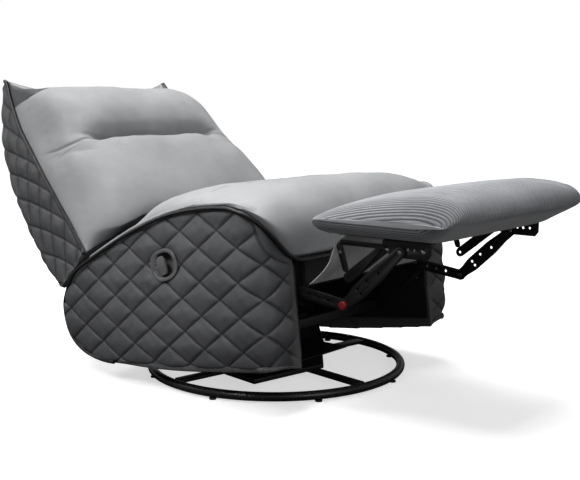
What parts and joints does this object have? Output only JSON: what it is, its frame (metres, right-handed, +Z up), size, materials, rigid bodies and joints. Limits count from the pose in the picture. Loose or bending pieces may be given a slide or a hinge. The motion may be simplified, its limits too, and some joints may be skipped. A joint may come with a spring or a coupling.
{
  "type": "reclining chair",
  "caption": "Quilted reclining chair lying back with its footrest out, on a ring base that swivels and rocks; pull latch in the side panel.",
  "frame": {"origin": "on the floor, under the middle of the chair's bounding box as it stands reclined", "axes": "+X to the chair's right side as seen from the footrest end, +Y from the footrest to the back, +Z up"},
  "size_m": [0.7932, 1.4524, 0.7524],
  "materials": {
    "grey_leatherette": "soft matte grain",
    "quilted_charcoal": "matte, stitched in diamonds",
    "ribbed_cloth": "fine ribs",
    "curtain_cloth": "matte",
    "black_lining": "matte",
    "black_piping": "satin",
    "black_steel": "satin enamel",
    "bare_steel": "zinc plated",
    "plywood": "raw",
    "glide_plastic": "matte",
    "red_plastic": "gloss",
    "latch_plastic": "gloss"
  },
  "bodies": {
    "base": {"base_ring": "black_steel", "base_cross": "black_steel", "glide_1": "glide_plastic", "glide_2": "glide_plastic", "glide_3": "glide_plastic", "glide_4": "glide_plastic", "glide_5": "glide_plastic", "glide_6": "glide_plastic", "glide_7": "glide_plastic", "glide_8": "glide_plastic", "turntable_plate": "black_steel", "swivel_bearing": "bare_steel"},
    "swivel": {"rocker_base": "black_steel", "rocker_shaft": "bare_steel", "rocker_spring_left": "bare_steel", "rocker_spring_right": "bare_steel"},
    "chair": {"side_panel_left": "quilted_charcoal", "side_panel_right": "quilted_charcoal", "lining_left": "black_lining", "lining_right": "black_lining", "side_plate_left": "black_steel", "side_plate_right": "black_steel", "rocker_beam_left": "black_steel", "rocker_beam_right": "black_steel", "rear_pin_left": "bare_steel", "rear_pin_right": "bare_steel", "back_pin_left": "bare_steel", "back_pin_right": "bare_steel", "seat_piping": "black_piping", "seat_cushion": "grey_leatherette", "seat_frame": "black_lining", "front_rail": "black_steel", "rear_rail": "black_steel", "latch_cup": "latch_plastic", "foot_curtain": "curtain_cloth"},
    "latch": {"latch_handle": "latch_plastic"},
    "back": {"back_cushion": "grey_leatherette", "back_shell": "quilted_charcoal", "back_piping_left": "black_piping", "back_piping_right": "black_piping", "back_hinge_left": "black_steel", "back_hinge_right": "black_steel"},
    "rear_links": {"rear_link_left": "black_steel", "rear_link_right": "black_steel", "knee_pin_left": "bare_steel", "knee_pin_right": "bare_steel", "knee_bushing_left": "red_plastic", "knee_bushing_right": "red_plastic"},
    "front_links": {"front_link_left": "black_steel", "front_link_right": "black_steel", "lift_arm_left": "black_steel", "lift_arm_right": "black_steel", "upper_link_left": "black_steel", "upper_link_right": "black_steel", "foot_pin_left": "bare_steel", "foot_pin_right": "bare_steel"},
    "footrest": {"foot_cushion": "ribbed_cloth", "foot_board": "plywood", "foot_bracket_left": "black_steel", "foot_bracket_right": "black_steel"}
  },
  "joints": [
    {"name": "swivel_turn", "type": "hinge", "parent": "base", "child": "swivel", "pos_m": [0, -0.02154, 0.0376], "axis": [0, 0, 1], "continuous": true},
    {"name": "rock", "type": "hinge", "parent": "swivel", "child": "chair", "pos_m": [0, -0.00326, 0.12888], "axis": [1, 0, 0], "range_deg": [0, 13], "stiffness_Nm_per_rad": 110, "springref_deg": 7.1, "deforming": ["rocker_spring_left", "rocker_spring_right"]},
    {"name": "recline", "type": "hinge", "parent": "chair", "child": "back", "pos_m": [0, 0.22848, 0.27996], "axis": [1, 0, 0], "range_deg": [0, 27]},
    {"name": "footrest_fold", "type": "hinge", "parent": "chair", "child": "rear_links", "pos_m": [0, -0.28761, 0.27462], "axis": [1, 0, 0], "range_deg": [0, 161.8], "deforming": ["foot_curtain"]},
    {"name": "knee_fold", "type": "hinge", "parent": "rear_links", "child": "front_links", "pos_m": [0, -0.42476, 0.25721], "axis": [1, 0, 0], "range_deg": [-124, 0]},
    {"name": "footrest_turn", "type": "hinge", "parent": "front_links", "child": "footrest", "pos_m": [0, -0.56333, 0.38404], "axis": [1, 0, 0], "range_deg": [0, 48]},
    {"name": "latch_pull", "type": "hinge", "parent": "chair", "child": "latch", "pos_m": [-0.3895, 0.01398, 0.30911], "axis": [0, -0.3652, -0.9309], "range_deg": [0, 25], "stiffness_Nm_per_rad": 0.4}
  ],
  "couplings": [
    {"joint": "knee_fold", "follows": "footrest_fold", "ratio": -0.762},
    {"joint": "footrest_turn", "follows": "footrest_fold", "ratio": 0.2936}
  ]
}
